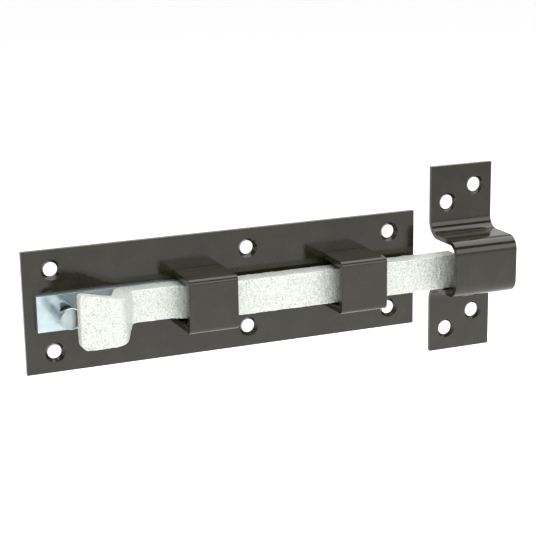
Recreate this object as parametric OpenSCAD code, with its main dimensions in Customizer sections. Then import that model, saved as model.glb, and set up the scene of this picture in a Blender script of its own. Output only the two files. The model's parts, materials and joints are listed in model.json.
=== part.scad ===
// Padlock slide bolt: a flat bar that slides in two straps on a back plate and enters a
// separate hat-shaped keeper, with a drilled stud for a padlock beside the bent handle.
//
// Frame: +X is the way the bolt shoots, -Y stands out from the door, +Z is up. The origin
// is the centre of the back plate's back face. The drawn position is the bolt shot home.

/* [Back plate] */
// Length of the back plate along the bolt
plate_len = 205.6; // [200:0.1:215]
// Height of the back plate
plate_h = 60; // [52:1:80]
// Thickness of the plate's steel
plate_t = 2.5; // [2:0.1:4]
// Distance from the plate's ends to its end screw holes
plate_hole_in = 14.1; // [9:0.1:20]
// Distance from the plate's long edges to all its screw holes
plate_hole_edge = 9.8; // [7:0.1:11]
// Place of the middle pair of screw holes along the bolt
plate_mid_x = 10.5; // [4:0.5:40]
// Diameter of the plate's screw holes
plate_hole_d = 6.8; // [5:0.1:7.5]
// Diameter of the countersinks at the front face
sink_d = 10; // [9:0.1:11]

/* [Guide straps] */
// Width of a strap along the bolt
strap_w = 25; // [16:1:28]
// Steel thickness of a strap
strap_t = 3; // [2:0.1:4]
// How far a strap stands out from the plate's front face
strap_out = 23.2; // [18:0.1:30]
// Height of a strap over both legs, at the plate
strap_h = 27.3; // [26.5:0.1:30]
// How much each leg leans in from the plate to the front
strap_lean = 0.3; // [0:0.05:0.5]
// Outer radius of a strap's two front bends
strap_bend = 2.6; // [1.2:0.1:4]
// Left edge of the left strap
strap_left_x = -28.8; // [-32:0.1:-26]
// Left edge of the right strap
strap_right_x = 50.8; // [45:0.1:65]

/* [Bolt bar] */
// Height of the bar in the straps
bar_h = 17.5; // [14:0.1:17.8]
// How far the bar's middle rests below the middle of the straps
bar_drop = 1; // [0:0.1:1.1]
// Thickness of the bar
bar_t = 10; // [7:0.1:11]
// Place of the bar's right end with the bolt shot
bar_end_x = 123; // [118:0.5:126]
// Length of the chamfer round the bar's right end
bar_nose = 1.5; // [0.5:0.1:3]

/* [Handle] */
// Place of the handle's left end with the bolt shot
tongue_x = -83.5; // [-88:0.1:-82]
// Height of the tongue's top above the plate's middle
tongue_up = 15.2; // [10:0.1:17]
// Depth of the tongue's low edge below the plate's middle
tongue_down = 12.6; // [10:0.1:16]
// Thickness of the tongue
tongue_t = 6; // [4:0.1:8]
// Air gap between the stud's end and the back of the tongue
tongue_gap = 1.7; // [0.4:0.1:3]
// Centreline radius of the handle's two bends
bend_r = 7; // [6.5:0.1:9]
// Angle of the handle's slope between the bends
bend_a = 66; // [60:1:72]
// Place along the bolt where the bar starts to bend outwards
bend_x = -52; // [-53:0.5:-50]
// Height of the narrow neck's top above the plate's middle
neck_up = 9.2; // [7:0.1:9.8]
// Depth of the neck's low edge below the plate's middle
neck_down = 6.9; // [5:0.1:9]
// Length along the bolt over which the neck turns into the full bar
neck_run = 26; // [10:1:40]

/* [Padlock stud] */
// Diameter of the stud
stud_d = 10.3; // [9:0.1:12]
// How far the stud's end stands out from the plate's front face
stud_out = 21.3; // [19:0.1:24]
// Place of the stud along the bolt
stud_x = -85.6; // [-88:0.1:-85]
// Height of the stud above the plate's middle
stud_z = 1.5; // [0:0.1:3]
// Diameter of the stud's cross hole for the padlock
lock_hole_d = 5.5; // [4:0.1:6.5]
// Distance from the stud's end to the middle of the cross hole
lock_hole_back = 4.4; // [4.2:0.1:7]
// Turn of the cross hole about the stud, away from upright
lock_hole_turn = 20; // [0:1:40]
// Height of the slide strip under the bar and the stud
strip_h = 17.6; // [17:0.1:19]
// Thickness of the slide strip
strip_t = 3; // [2:0.1:4]
// Length of the slide strip
strip_len = 91; // [80:1:95]
// Distance from the strip's left end to the plate's left end
strip_in = 5.6; // [4:0.1:8]

/* [Keeper] */
// Width of the keeper strip along the bolt
keeper_w = 35.3; // [28:0.1:45]
// Height of the keeper over both flanges
keeper_h = 99; // [90:1:110]
// Thickness of the keeper's steel
keeper_t = 2.5; // [2:0.1:3]
// How far the keeper's hat stands out from its flanges' front
keeper_out = 26.7; // [22:0.1:30]
// Height of the keeper's hat over its outside
hat_h = 29.8; // [29:0.1:34]
// Outer radius of the hat's two front bends
hat_bend = 7; // [3.5:0.1:8]
// Outer radius of the bends between the hat and its flanges
foot_bend = 9; // [4:0.1:9.5]
// Gap along the bolt between the back plate and the keeper
keeper_gap = 10.3; // [10:0.1:16]
// How far the keeper's middle sits above the bolt's axis
keeper_rise = 2.3; // [0:0.1:2.3]
// Distance of the keeper's screw holes from its middle, across
keeper_hole_x = 8; // [6:0.5:10]
// Height of the inner screw holes from the keeper's middle
keeper_hole_in = 30; // [27:0.5:33]
// Height of the outer screw holes from the keeper's middle
keeper_hole_out = 38; // [35:0.5:40]
// Diameter of the keeper's screw holes
keeper_hole_d = 7.5; // [5:0.1:8]

/* [Hidden] */
$fn = 96;
EPS = 0.01;            // cuts run past a face by this much
SLIDE = 0.2;           // air between the strip and the bar's back
TENON_W = 14;          // width of the tenon that holds each strap leg in the plate
SHANK_D = 7;           // the stud's riveted shank through strip and plate
PEEN_D = 9;            // the shank's hammered end, flush in the plate's back
STRIP_PIN_D = 4;       // the rivet that holds the strip's right end
PIN_IN = 5;            // that rivet's distance from the strip's end
STRAP_INNER_R = 0.6;   // inner radius of a strap's bends
LOW_R = 4;             // rounding of the tongue's low left corner
TOP_R = 2;             // rounding of its top left corner
SHOULDER_LOW = 23;     // the low edge starts to rise this far right of the tongue's end
NECK_IN = 17;          // the handle's neck ends this far inside the left strap
SHOULDER_TOP = -10;    // the top edge already falls from this far left of it
EDGE = 0.4;            // small chamfer on the stud's end and the strip's rivet
STEPS = 12;            // points on each round stretch of a drawn outline

front_y = -plate_t;                        // the plate's front face
bar_back = strip_t + SLIDE;                // heights out from the plate's front face
bar_front = bar_back + bar_t;
bar_mid = bar_back + bar_t / 2;
tongue_back = stud_out + tongue_gap;
tongue_mid = tongue_back + tongue_t / 2;
keeper_x = plate_len / 2 + keeper_gap + keeper_w / 2;
strip_x = -plate_len / 2 + strip_in;
neck_end = strap_left_x + NECK_IN;
strip_pin_x = strip_x + strip_len - PIN_IN;
strap_lefts = [strap_left_x, strap_right_x];

// the handle's slope: what the two bends don't climb, the straight stretch between does
slope_len = (tongue_mid - bar_mid - 2 * bend_r * (1 - cos(bend_a))) / sin(bend_a);
slope_x = 2 * bend_r * sin(bend_a) + slope_len * cos(bend_a);

// Draws children on the XZ plane as a slab standing out from y to y - t.
module slab(t, y = 0) {
    translate([0, y, 0]) rotate([90, 0, 0]) linear_extrude(t) children();
}

// A screw hole through steel t thick, its countersink opening at the front face y.
module screw_hole(x, z, d, t, y) {
    depth = (sink_d - d) / 2;
    translate([x, y - EPS, z]) rotate([-90, 0, 0]) {
        cylinder(h = t + 2 * EPS, d = d);
        cylinder(h = depth + EPS, d1 = sink_d + 2 * EPS, d2 = d);
    }
}

// A pin along Y between two heights out from the plate's front face.
module pin(d, from, to) {
    translate([0, front_y - from, 0]) rotate([90, 0, 0]) cylinder(h = to - from, d = d);
}

// The tapered hole or rivet end in the back face of the plate.
module peen(d_front, d_back) {
    rotate([90, 0, 0]) cylinder(h = plate_t / 2, d1 = d_back, d2 = d_front);
}

module back_plate() {
    end_x = plate_len / 2 - plate_hole_in;
    row_z = plate_h / 2 - plate_hole_edge;
    color("#2b2927")
    difference() {
        slab(plate_t) square([plate_len, plate_h], center = true);
        for (x = [-end_x, plate_mid_x, end_x], z = [-row_z, row_z])
            screw_hole(x, z, plate_hole_d, plate_t, front_y);
        for (x = strap_lefts, side = [-1, 1])
            slab(plate_t + 2 * EPS, EPS)
                translate([x + strap_w / 2, side * (strap_h - strap_t) / 2])
                    square([TENON_W, strap_t], center = true);
        translate([stud_x, 0, stud_z]) {
            pin(SHANK_D, -plate_t - EPS, EPS);
            peen(SHANK_D, PEEN_D);
        }
        translate([strip_pin_x, 0, 0]) pin(STRIP_PIN_D, -plate_t - EPS, EPS);
    }
}

module slide_strip() {
    color("#c9d2d8") {
        difference() {
            slab(strip_t, front_y)
                translate([strip_x, -strip_h / 2]) square([strip_len, strip_h]);
            translate([stud_x, 0, stud_z]) pin(SHANK_D, -EPS, strip_t + EPS);
        }
        translate([strip_pin_x, 0, 0]) pin(STRIP_PIN_D, -plate_t, EPS);
    }
}

module padlock_stud() {
    color("#d5dadc")
    translate([stud_x, 0, stud_z])
    difference() {
        union() {
            pin(stud_d, strip_t, stud_out - EDGE);
            translate([0, front_y - stud_out + EDGE, 0])
                rotate([90, 0, 0]) cylinder(h = EDGE, d1 = stud_d, d2 = stud_d - 2 * EDGE);
            pin(SHANK_D, -plate_t, strip_t + EPS);
            peen(SHANK_D, PEEN_D);
        }
        translate([0, front_y - stud_out + lock_hole_back, 0])
            rotate([0, -lock_hole_turn, 0])
                cylinder(h = 2 * stud_d, d = lock_hole_d, center = true);
    }
}

// Half a strap's cross section, above the bolt's axis: [out from the plate, height].
function leg_outline() =
    let (top = strap_h / 2, lean = strap_lean, r = strap_bend, ri = STRAP_INNER_R,
         lip = top - lean, in_top = lip - strap_t, in_out = strap_out - strap_t)
    concat([[0, top]],
           [for (i = [0:STEPS]) [strap_out - r + r * sin(90 * i / STEPS),
                                 lip - r + r * cos(90 * i / STEPS)]],
           [[strap_out, 0], [in_out, 0]],
           [for (i = [STEPS:-1:0]) [in_out - ri + ri * sin(90 * i / STEPS),
                                    in_top - ri + ri * cos(90 * i / STEPS)]],
           [[0, top - strap_t]]);

module guide_strap(x) {
    color("#2b2927")
    translate([x, front_y, 0]) {
        for (side = [0, 1])
            mirror([0, 0, side])
                rotate([0, 90, 0]) rotate([0, 0, 180]) linear_extrude(strap_w)
                    polygon([for (p = leg_outline()) [p[1], p[0]]]);
        for (side = [-1, 1])
            slab(plate_t, plate_t)
                translate([strap_w / 2, side * (strap_h - strap_t) / 2])
                    square([TENON_W, strap_t], center = true);
    }
}

// A point on the handle's centreline, [x, out, direction], at a share s of its way: the
// first bend, the slope and the second bend take a third each.
function handle_mid(s) =
    let (u = 3 * s, a = bend_a * min(1, u), b = bend_a * max(0, u - 2),
         c = slope_len * min(1, max(0, u - 1)),
         x1 = bend_r * sin(a), o1 = bend_r * (1 - cos(a)),
         x2 = bend_r * (sin(bend_a) - sin(bend_a - b)),
         o2 = bend_r * (cos(bend_a - b) - cos(bend_a)))
    [bend_x - x1 - c * cos(bend_a) - x2, bar_mid + o1 + c * sin(bend_a) + o2, a - b];

// A point on the handle's front (side 1) or back (side -1), thinning from bar to tongue.
function handle_face(s, side) =
    let (m = handle_mid(s), t = bar_t + (tongue_t - bar_t) * s)
    [m[0] + side * t / 2 * sin(m[2]), m[1] + side * t / 2 * cos(m[2])];

// The bar and handle seen from above: [x, out from the plate].
module bar_plan() {
    n = 3 * STEPS;
    polygon(concat(
        [[bar_end_x, bar_back], [bar_end_x, bar_front]],
        [for (i = [0:n]) handle_face(i / n, 1)],
        [[tongue_x, tongue_back + tongue_t], [tongue_x, tongue_back]],
        [for (i = [n:-1:0]) handle_face(i / n, -1)]));
}

// A smooth step from 0 to 1 as x goes from a to b.
function ease(x, a, b) = let (u = min(1, max(0, (x - a) / (b - a)))) u * u * (3 - 2 * u);

// Edges of the bar seen from the front, as heights over the plate's middle: tongue,
// shoulder, neck, then the full bar.
function bar_edge(x, tongue, neck, bar, shoulder) =
    tongue + (neck - tongue) * ease(x, tongue_x + shoulder, bend_x)
    + (bar - neck) * ease(x, neck_end - neck_run, neck_end);
function low_edge(x) = bar_edge(x, -tongue_down, -neck_down, -bar_h / 2 - bar_drop, SHOULDER_LOW);
function top_edge(x) = bar_edge(x, tongue_up, neck_up, bar_h / 2 - bar_drop, SHOULDER_TOP);

// The bar and handle seen from the front: [x, z].
module bar_elevation() {
    n = 5 * STEPS;
    run = neck_end - tongue_x;
    low = [for (i = [0:n]) let (x = tongue_x + LOW_R + (run - LOW_R) * i / n) [x, low_edge(x)]];
    top = [for (i = [n:-1:0]) let (x = tongue_x + TOP_R + (run - TOP_R) * i / n) [x, top_edge(x)]];
    foot = low_edge(bar_end_x);
    head = top_edge(bar_end_x);
    polygon(concat(
        [for (i = [0:STEPS - 1]) let (a = 90 * i / STEPS)
            [tongue_x + LOW_R * (1 - cos(a)), low[0][1] + LOW_R * (1 - sin(a))]],
        low,
        [[bar_end_x - bar_nose, foot], [bar_end_x, foot + bar_nose],
         [bar_end_x, head - bar_nose], [bar_end_x - bar_nose, head]],
        top,
        [for (i = [1:STEPS]) let (a = 90 * i / STEPS)
            [tongue_x + TOP_R * (1 - sin(a)), top[n][1] - TOP_R * (1 - cos(a))]]));
}

module bolt_bar() {
    reach = tongue_back + tongue_t + EPS;
    color("#dcdedb")
    intersection() {
        slab(reach, front_y) bar_elevation();
        translate([0, front_y, -plate_h / 2]) linear_extrude(plate_h)
            mirror([0, 1, 0]) bar_plan();
    }
}

// Points of a quarter turn about c with radius r, from angle a to b.
function turn(c, r, a, b) =
    [for (i = [0:STEPS]) let (t = a + (b - a) * i / STEPS) c + r * [cos(t), sin(t)]];

// Half the keeper's section above its middle: [out from the flange's front, height].
function keeper_outline() =
    let (top = hat_h / 2, t = keeper_t, f = foot_bend, r = hat_bend)
    concat([[-t, keeper_h / 2], [0, keeper_h / 2]],
           turn([f - t, top + f - t], f - t, 180, 270),
           turn([keeper_out - r, top - r], r, 90, 0),
           [[keeper_out, 0], [keeper_out - t, 0]],
           turn([keeper_out - r, top - r], r - t, 0, 90),
           turn([f - t, top + f - t], f, 270, 180));

module keeper() {
    color("#2b2927")
    translate([keeper_x, -keeper_t, keeper_rise])
    difference() {
        for (side = [0, 1])
            mirror([0, 0, side])
                rotate([0, 90, 0]) rotate([0, 0, 180])
                    translate([0, 0, -keeper_w / 2]) linear_extrude(keeper_w)
                        polygon([for (p = keeper_outline()) [p[1], p[0]]]);
        for (side = [-1, 1]) {
            screw_hole(-side * keeper_hole_x, side * keeper_hole_in, keeper_hole_d, keeper_t, 0);
            screw_hole(side * keeper_hole_x, side * keeper_hole_out, keeper_hole_d, keeper_t, 0);
        }
    }
}

back_plate();
slide_strip();
padlock_stud();
guide_strap(strap_left_x);  // guide_strap_left
guide_strap(strap_right_x);  // guide_strap_right
bolt_bar();
keeper();
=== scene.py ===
"""A padlock slide bolt: black enamelled plate, straps and keeper, with a bright zinc bar."""
import json
import math

import bmesh
import bpy
from mathutils import Matrix, Vector, noise


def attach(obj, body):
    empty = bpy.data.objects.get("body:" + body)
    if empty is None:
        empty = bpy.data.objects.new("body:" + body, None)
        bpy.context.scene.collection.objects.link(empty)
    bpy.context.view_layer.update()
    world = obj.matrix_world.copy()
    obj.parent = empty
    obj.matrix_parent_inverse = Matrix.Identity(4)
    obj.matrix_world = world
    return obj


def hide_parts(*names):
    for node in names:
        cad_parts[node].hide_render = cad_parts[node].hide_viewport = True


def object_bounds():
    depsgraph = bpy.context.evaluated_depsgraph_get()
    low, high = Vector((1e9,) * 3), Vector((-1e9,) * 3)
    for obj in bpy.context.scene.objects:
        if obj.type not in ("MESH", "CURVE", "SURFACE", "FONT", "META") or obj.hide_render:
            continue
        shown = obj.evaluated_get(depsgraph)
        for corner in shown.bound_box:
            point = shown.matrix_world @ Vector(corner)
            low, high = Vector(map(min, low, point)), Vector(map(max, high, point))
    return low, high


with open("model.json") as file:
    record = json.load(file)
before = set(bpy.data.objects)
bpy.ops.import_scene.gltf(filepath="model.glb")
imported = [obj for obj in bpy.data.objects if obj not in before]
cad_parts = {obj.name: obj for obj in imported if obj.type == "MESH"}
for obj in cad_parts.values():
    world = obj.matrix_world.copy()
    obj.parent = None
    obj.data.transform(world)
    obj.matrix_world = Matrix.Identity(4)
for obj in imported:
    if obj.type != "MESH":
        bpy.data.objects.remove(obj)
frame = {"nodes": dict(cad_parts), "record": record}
CAD_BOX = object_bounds()
MM = 0.001

ENAMEL_NODES = ("back_plate", "guide_strap_left", "guide_strap_right", "keeper")


# ---------------------------------------------------------------- camera, light and floor

def set_camera():
    """The photograph's view: from the handle's side and a little above."""
    azimuth, elevation, roll = math.radians(22.50), math.radians(14.44), math.radians(-0.91)
    distance, focal_mm, sensor_mm = 0.7283, 99.5, 36.0
    aim = Vector((0.01806, -0.010, 0.01084))
    nearest, farthest = 0.05, 30
    ahead = Vector((math.sin(azimuth) * math.cos(elevation),
                    math.cos(azimuth) * math.cos(elevation), -math.sin(elevation)))
    right = Vector((math.cos(azimuth), -math.sin(azimuth), 0))
    up = right.cross(ahead)
    right, up = (math.cos(roll) * right + math.sin(roll) * up,
                 math.cos(roll) * up - math.sin(roll) * right)
    data = bpy.data.cameras.new("camera")
    data.lens, data.sensor_width = focal_mm, sensor_mm
    data.clip_start, data.clip_end = nearest, farthest
    camera = bpy.data.objects.new("camera", data)
    bpy.context.scene.collection.objects.link(camera)
    turn = Matrix((right, up, -ahead)).transposed().to_4x4()
    camera.matrix_world = Matrix.Translation(aim - distance * ahead) @ turn
    bpy.context.scene.camera = camera


def softbox(name, at, size, radiance, look_at):
    """A flat lamp of a given brightness, seen only as a reflection in what is glossy."""
    data = bpy.data.lights.new(name, "AREA")
    data.shape, data.size, data.size_y = "RECTANGLE", size[0], size[1]
    data.energy = radiance * math.pi * size[0] * size[1]
    data.diffuse_factor = 0.0
    lamp = bpy.data.objects.new(name, data)
    bpy.context.scene.collection.objects.link(lamp)
    lamp.location = at
    lamp.rotation_euler = (Vector(look_at) - Vector(at)).to_track_quat("-Z", "Y").to_euler()


def set_light():
    """A white tent with a dark slot between its front and its roof lamp."""
    white = 1.12
    # how bright the tent is at each angle, from the front over the roof to the back
    slot_deg = ((0, 1.0), (38, 1.0), (42, 0.06), (62, 0.06), (67, 0.72), (150, 0.72), (172, 1.0))
    scene = bpy.context.scene
    scene.view_settings.view_transform = "Standard"
    world = bpy.data.worlds.new("studio")
    world.use_nodes = True
    nodes, links = world.node_tree.nodes, world.node_tree.links
    sky = nodes["Background"]
    sky.inputs["Color"].default_value = (white, white, white, 1)
    split = nodes.new("ShaderNodeSeparateXYZ")
    links.new(nodes.new("ShaderNodeTexCoord").outputs["Generated"], split.inputs[0])
    front = nodes.new("ShaderNodeMath")
    front.operation = "MULTIPLY"
    front.inputs[1].default_value = -1.0
    links.new(split.outputs["Y"], front.inputs[0])
    rise = nodes.new("ShaderNodeMath")
    rise.operation = "ARCTAN2"
    links.new(split.outputs["Z"], rise.inputs[0])
    links.new(front.outputs[0], rise.inputs[1])
    turn = nodes.new("ShaderNodeMapRange")
    turn.inputs["From Min"].default_value = 0.0
    turn.inputs["From Max"].default_value = math.pi
    links.new(rise.outputs[0], turn.inputs["Value"])
    slot = nodes.new("ShaderNodeValToRGB")
    ends = slot.color_ramp.elements
    while len(ends) < len(slot_deg):
        ends.new(0.5)
    for end, (angle, level) in zip(ends, slot_deg):
        end.position = angle / 180
        end.color = (level, level, level, 1)
    links.new(turn.outputs["Result"], slot.inputs["Fac"])
    links.new(slot.outputs["Color"], sky.inputs["Strength"])
    scene.world = world
    softbox("roof", at=(0.3, 0.05, 0.9), size=(2.4, 0.9), radiance=2.6, look_at=(0.3, 0, 0))
    softbox("front", at=(0.45, -1.03, 0.48), size=(2.4, 0.62), radiance=2.0, look_at=(0.1, 0, 0))


def lay_floor():
    """A pale floor below the object, wide enough to fill every view and lit a little from within."""
    drop, half = 0.20, 9.0
    paint, glow = 0.98, 0.26
    z = CAD_BOX[0].z - drop
    mesh = bpy.data.meshes.new("floor")
    mesh.from_pydata([(-half, -half, z), (half, -half, z), (half, half, z), (-half, half, z)],
                     [], [(0, 1, 2, 3)])
    floor = bpy.data.objects.new("floor", mesh)
    bpy.context.scene.collection.objects.link(floor)
    material, shader = new_material("floor_paint")
    shader.inputs["Base Color"].default_value = (paint, paint, paint, 1)
    shader.inputs["Roughness"].default_value = 0.9
    shader.inputs["Emission Color"].default_value = (1, 1, 1, 1)
    shader.inputs["Emission Strength"].default_value = glow
    mesh.materials.append(material)


# ---------------------------------------------------------------- materials

def new_material(name):
    material = bpy.data.materials.new(name)
    material.use_nodes = True
    return material, material.node_tree.nodes["Principled BSDF"]


class Maker:
    """Adds nodes to one material in short calls."""

    def __init__(self, material):
        self.nodes, self.links = material.node_tree.nodes, material.node_tree.links
        self.place = self.nodes.new("ShaderNodeTexCoord").outputs["Object"]

    def link(self, a, b):
        self.links.new(a, b)

    def stretch(self, scale):
        node = self.nodes.new("ShaderNodeMapping")
        node.inputs["Scale"].default_value = scale
        self.link(self.place, node.inputs["Vector"])
        return node.outputs["Vector"]

    def noise(self, per_metre, detail=3, rough=0.55, place=None):
        node = self.nodes.new("ShaderNodeTexNoise")
        node.inputs["Scale"].default_value = per_metre
        node.inputs["Detail"].default_value = detail
        node.inputs["Roughness"].default_value = rough
        self.link(place or self.place, node.inputs["Vector"])
        return node.outputs["Fac"]

    def cells(self, per_metre):
        node = self.nodes.new("ShaderNodeTexVoronoi")
        node.inputs["Scale"].default_value = per_metre
        self.link(self.place, node.inputs["Vector"])
        return node.outputs["Distance"]

    def ramp(self, value, *stops):
        """Turns a value into colours or, where a stop is one number, into greys."""
        node = self.nodes.new("ShaderNodeValToRGB")
        ends = node.color_ramp.elements
        while len(ends) < len(stops):
            ends.new(0.5)
        for end, (at, colour) in zip(ends, stops):
            end.position = at
            end.color = (*colour, 1) if isinstance(colour, tuple) else (colour,) * 3 + (1,)
        self.link(value, node.inputs["Fac"])
        return node.outputs["Color"]

    def bump(self, height, strength, depth_mm, under=None):
        node = self.nodes.new("ShaderNodeBump")
        node.inputs["Strength"].default_value = strength
        node.inputs["Distance"].default_value = depth_mm * MM
        self.link(height, node.inputs["Height"])
        if under:
            self.link(under, node.inputs["Normal"])
        return node.outputs["Normal"]


def black_enamel():
    """Glossy stoved enamel: a near-black brown coat with a faint orange peel."""
    material, shader = new_material("black_enamel")
    make = Maker(material)
    dark, light = (0.012, 0.0108, 0.0055), (0.019, 0.0172, 0.0095)
    tint = make.ramp(make.noise(90, 4), (0.3, dark), (0.7, light))
    make.link(tint, shader.inputs["Base Color"])
    gloss = make.ramp(make.noise(220, 3), (0.3, 0.09), (0.75, 0.15))
    make.link(gloss, shader.inputs["Roughness"])
    peel = make.bump(make.noise(700, 2), 0.10, 0.06)
    make.link(peel, shader.inputs["Normal"])
    shader.inputs["IOR"].default_value = 1.46
    return material


def hammered_zinc():
    """Bright zinc over a coarse forged surface: matt white with fine dark pits."""
    material, shader = new_material("hammered_zinc")
    make = Maker(material)
    shader.inputs["Metallic"].default_value = 0.42
    speck = make.ramp(make.noise(1900, 2, 0.75),
                      (0.30, (0.22, 0.25, 0.20)), (0.42, (0.46, 0.48, 0.41)),
                      (0.52, (0.60, 0.63, 0.59)), (0.66, (0.64, 0.65, 0.65)),
                      (0.76, (0.56, 0.56, 0.58)))
    make.link(speck, shader.inputs["Base Color"])
    dull = make.ramp(make.noise(1900, 2), (0.3, 0.34), (0.7, 0.55))
    make.link(dull, shader.inputs["Roughness"])
    pits = make.bump(make.cells(1500), 0.5, 0.2)
    grain = make.bump(make.noise(2600, 3, 0.7), 0.5, 0.12, pits)
    make.link(grain, shader.inputs["Normal"])
    return material


def smooth_zinc(name, dark, light, metal):
    """Blue-white zinc on smooth steel with faint rolling marks."""
    material, shader = new_material(name)
    make = Maker(material)
    shader.inputs["Metallic"].default_value = metal
    cloud = make.ramp(make.noise(160, 4), (0.35, dark), (0.65, light))
    make.link(cloud, shader.inputs["Base Color"])
    dull = make.ramp(make.noise(500, 3), (0.3, 0.16), (0.7, 0.24))
    make.link(dull, shader.inputs["Roughness"])
    rolled = make.bump(make.noise(1200, 3, place=make.stretch((0.08, 1, 1))), 0.10, 0.04)
    make.link(rolled, shader.inputs["Normal"])
    return material


# ---------------------------------------------------------------- pieces

def copied_mesh(node):
    """A welded bmesh of a CAD node, with its flat faces whole again."""
    mesh = bmesh.new()
    mesh.from_mesh(frame["nodes"][node].data)
    bmesh.ops.remove_doubles(mesh, verts=mesh.verts, dist=0.001 * MM)
    bmesh.ops.dissolve_limit(mesh, angle_limit=math.radians(1), verts=mesh.verts, edges=mesh.edges)
    return mesh


def piece_from(mesh, name, node, material, sharp_deg=40):
    """Turns a bmesh into a shown piece that stands for a CAD node."""
    data = bpy.data.meshes.new(name)
    mesh.to_mesh(data)
    mesh.free()
    for face in data.polygons:
        face.use_smooth = True
    data.set_sharp_from_angle(angle=math.radians(sharp_deg))
    data.materials.append(material)
    piece = bpy.data.objects.new(name, data)
    bpy.context.scene.collection.objects.link(piece)
    body = next(b for b, nodes in frame["record"]["behaviour"]["bodies"].items() if node in nodes)
    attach(piece, body)
    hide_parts(node)
    return piece


def soften(mesh, radius_mm, steps=3, over_deg=40):
    """Rounds every edge of a bmesh that is sharper than an angle."""
    edges = [e for e in mesh.edges
             if len(e.link_faces) == 2 and e.calc_face_angle(0) > math.radians(over_deg)]
    bmesh.ops.bevel(mesh, geom=edges, offset=radius_mm * MM, segments=steps, profile=0.5,
                    affect="EDGES", clamp_overlap=True)


def steel_piece(node, material, radius_mm):
    """A CAD node with its edges rounded."""
    mesh = copied_mesh(node)
    soften(mesh, radius_mm)
    piece = piece_from(mesh, node + "_shown", node, material)
    piece.modifiers.new("even_shading", "WEIGHTED_NORMAL").keep_sharp = True
    return piece


def forged_bar(material):
    """The bar and its handle: soft edges and a coarse hammered skin."""
    edge_mm, grid_mm = 0.8, 0.36
    dent_mm, dent_wide_mm = 0.12, 3.5
    grain_mm, grain_wide_mm = 0.16, 1.3
    sink_mm = 0.17                       # the skin lies this far in, so that no grain stands proud
    mesh = copied_mesh("bolt_bar")
    soften(mesh, edge_mm)
    bar = piece_from(mesh, "bolt_bar_shown", "bolt_bar", material, sharp_deg=180)
    remesh = bar.modifiers.new("even_grid", "REMESH")
    remesh.mode, remesh.voxel_size = "VOXEL", grid_mm * MM
    remesh.use_smooth_shade = True
    depsgraph = bpy.context.evaluated_depsgraph_get()
    skin = bpy.data.meshes.new_from_object(bar.evaluated_get(depsgraph))
    bar.modifiers.clear()
    bar.data = skin
    normals = [v.normal.copy() for v in skin.vertices]
    for vertex, normal in zip(skin.vertices, normals):
        at = vertex.co / MM
        dents = noise.noise(at / dent_wide_mm) * dent_mm
        grain = noise.noise(at / grain_wide_mm) * grain_mm
        vertex.co += normal * (dents + grain - sink_mm) * MM
    for face in skin.polygons:
        face.use_smooth = True


set_camera()
set_light()
lay_floor()

enamel, forged = black_enamel(), hammered_zinc()
rolled = smooth_zinc("smooth_zinc", dark=(0.40, 0.49, 0.51), light=(0.50, 0.58, 0.61), metal=0.75)
turned = smooth_zinc("turned_zinc", dark=(0.30, 0.345, 0.35), light=(0.38, 0.425, 0.43), metal=0.95)
for name in ENAMEL_NODES:
    steel_piece(name, enamel, radius_mm=0.35)
steel_piece("slide_strip", rolled, radius_mm=0.4)
steel_piece("padlock_stud", turned, radius_mm=0.3)
forged_bar(forged)
